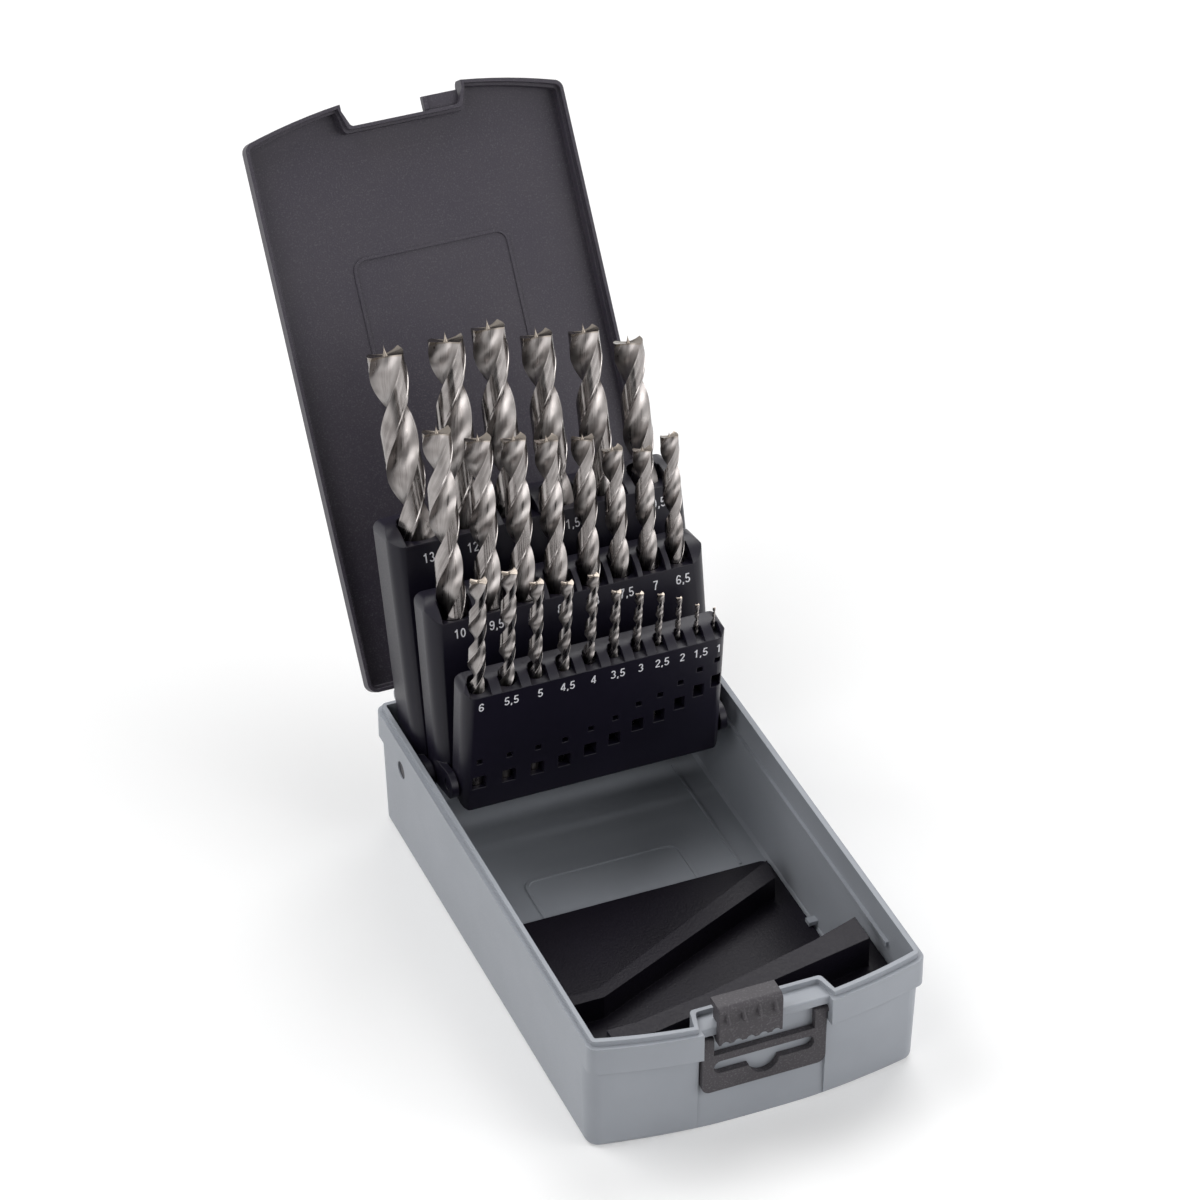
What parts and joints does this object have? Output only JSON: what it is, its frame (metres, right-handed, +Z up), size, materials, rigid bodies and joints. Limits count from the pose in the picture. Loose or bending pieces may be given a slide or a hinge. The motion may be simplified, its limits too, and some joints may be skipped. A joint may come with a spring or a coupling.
{
  "type": "drill bit case",
  "caption": "Hinged plastic drill bit case with tiered holders that stand up as the lid opens, a row of brad-point drills in each, a sliding latch and a folding hanger.",
  "frame": {"origin": "middle of the flat underside of the tray", "axes": "+X to the right seen from the latch side, +Y from the latch side to the hinge side, +Z up; the case stands open"},
  "size_m": [0.118, 0.3293, 0.2118],
  "materials": {
    "tray": "fine-textured mid grey polypropylene",
    "lid": "fine-textured charcoal polypropylene",
    "rest": "coarse-grained black polystyrene",
    "fittings": "textured dark grey plastic",
    "holder": "satin black plastic",
    "pin": "drawn wire",
    "drill": "bright ground high-speed steel"
  },
  "bodies": {
    "tray": {"base_tray": "tray", "drill_rest": "rest", "hinge_pin_left": "pin", "hinge_pin_right": "pin"},
    "lid": {"lid_shell": "lid"},
    "rear_holder": {"holder_rear": "holder", "drill_13_0": "drill", "drill_12_5": "drill", "drill_12_0": "drill", "drill_11_5": "drill", "drill_11_0": "drill", "drill_10_5": "drill"},
    "middle_holder": {"holder_middle": "holder", "drill_10_0": "drill", "drill_9_5": "drill", "drill_9_0": "drill", "drill_8_5": "drill", "drill_8_0": "drill", "drill_7_5": "drill", "drill_7_0": "drill", "drill_6_5": "drill"},
    "front_holder": {"holder_front": "holder", "drill_6_0": "drill", "drill_5_5": "drill", "drill_5_0": "drill", "drill_4_5": "drill", "drill_4_0": "drill", "drill_3_5": "drill", "drill_3_0": "drill", "drill_2_5": "drill", "drill_2_0": "drill", "drill_1_5": "drill", "drill_1_0": "drill"},
    "latch": {"latch_slider": "fittings"},
    "hanger": {"hanger_bail": "fittings"}
  },
  "joints": [
    {"name": "holder_fold", "type": "hinge", "parent": "tray", "child": "rear_holder", "pos_m": [0, 0.072, 0.0348], "axis": [1, 0, 0], "range_deg": [0, 106]},
    {"name": "middle_fold", "type": "hinge", "parent": "rear_holder", "child": "middle_holder", "pos_m": [0, 0.0631, 0.03787], "axis": [1, 0, 0], "range_deg": [-6, 0]},
    {"name": "front_fold", "type": "hinge", "parent": "middle_holder", "child": "front_holder", "pos_m": [0, 0.0487, 0.04315], "axis": [1, 0, 0], "range_deg": [-15, 0]},
    {"name": "lid_hinge", "type": "hinge", "parent": "tray", "child": "lid", "pos_m": [0, 0.0998, 0.0446], "axis": [1, 0, 0], "range_deg": [0, 125]},
    {"name": "latch_slide", "type": "slide", "parent": "tray", "child": "latch", "axis": [1, 0, 0], "range_m": [0, 0.011]},
    {"name": "hanger_swing", "type": "hinge", "parent": "tray", "child": "hanger", "pos_m": [0, -0.10045, 0.0385], "axis": [-1, 0, 0], "range_deg": [0, 120]}
  ],
  "couplings": [
    {"joint": "lid_hinge", "follows": "holder_fold", "ratio": 1.1792},
    {"joint": "middle_fold", "follows": "holder_fold", "ratio": -0.056603},
    {"joint": "front_fold", "follows": "holder_fold", "ratio": -0.14151}
  ]
}
